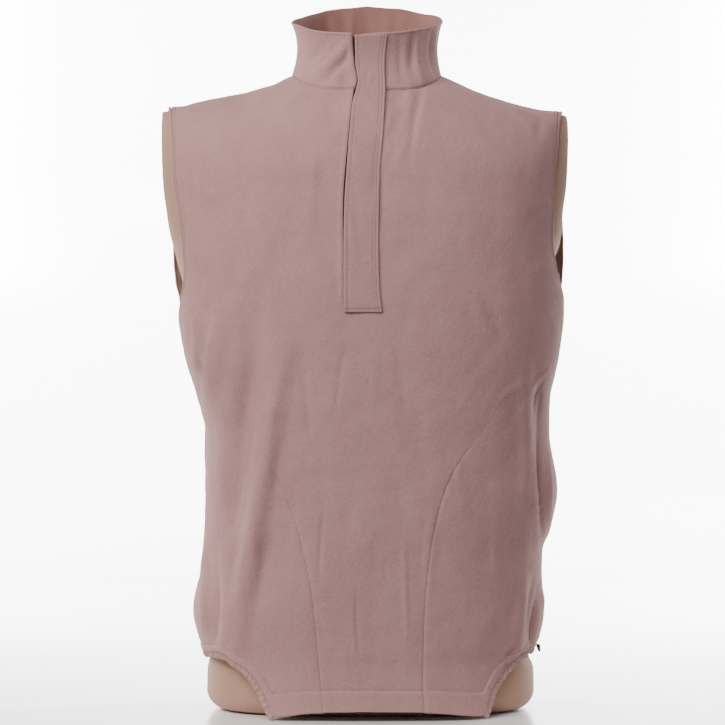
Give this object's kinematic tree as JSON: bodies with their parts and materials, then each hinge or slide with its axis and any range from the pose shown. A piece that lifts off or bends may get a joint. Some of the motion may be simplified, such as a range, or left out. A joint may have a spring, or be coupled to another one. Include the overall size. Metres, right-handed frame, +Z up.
{
  "type": "wind vest on a torso dress form",
  "caption": "Sleeveless half-zip wind vest with a stand collar, storm flap and scooped elastic side hems, worn by a limbless torso dress form.",
  "frame": {"origin": "centre of the box that holds the vest and the form, at the height of the form's flat base", "axes": "+Z up from the form's base to the collar, +Y from the vest's front towards its back, +X towards the wearer's left"},
  "size_m": [0.4575, 0.2722, 0.8025],
  "materials": {
    "vest_cloth": "matt brushed microfibre, mauve taupe",
    "form_cover": "smooth stretched cover, warm beige",
    "zip_tape": "woven tape in the colour of the cloth",
    "black_end": "satin black"
  },
  "bodies": {
    "root": {"torso_form": "form_cover", "front": "vest_cloth", "side_front_right": "vest_cloth", "side_front_left": "vest_cloth", "back": "vest_cloth", "collar": "vest_cloth", "placket_flap": "vest_cloth", "zip": "zip_tape", "armhole_binding_right": "vest_cloth", "armhole_binding_left": "vest_cloth", "hem_casing_right": "vest_cloth", "hem_casing_left": "vest_cloth", "cord_end": "black_end"}
  },
  "joints": []
}
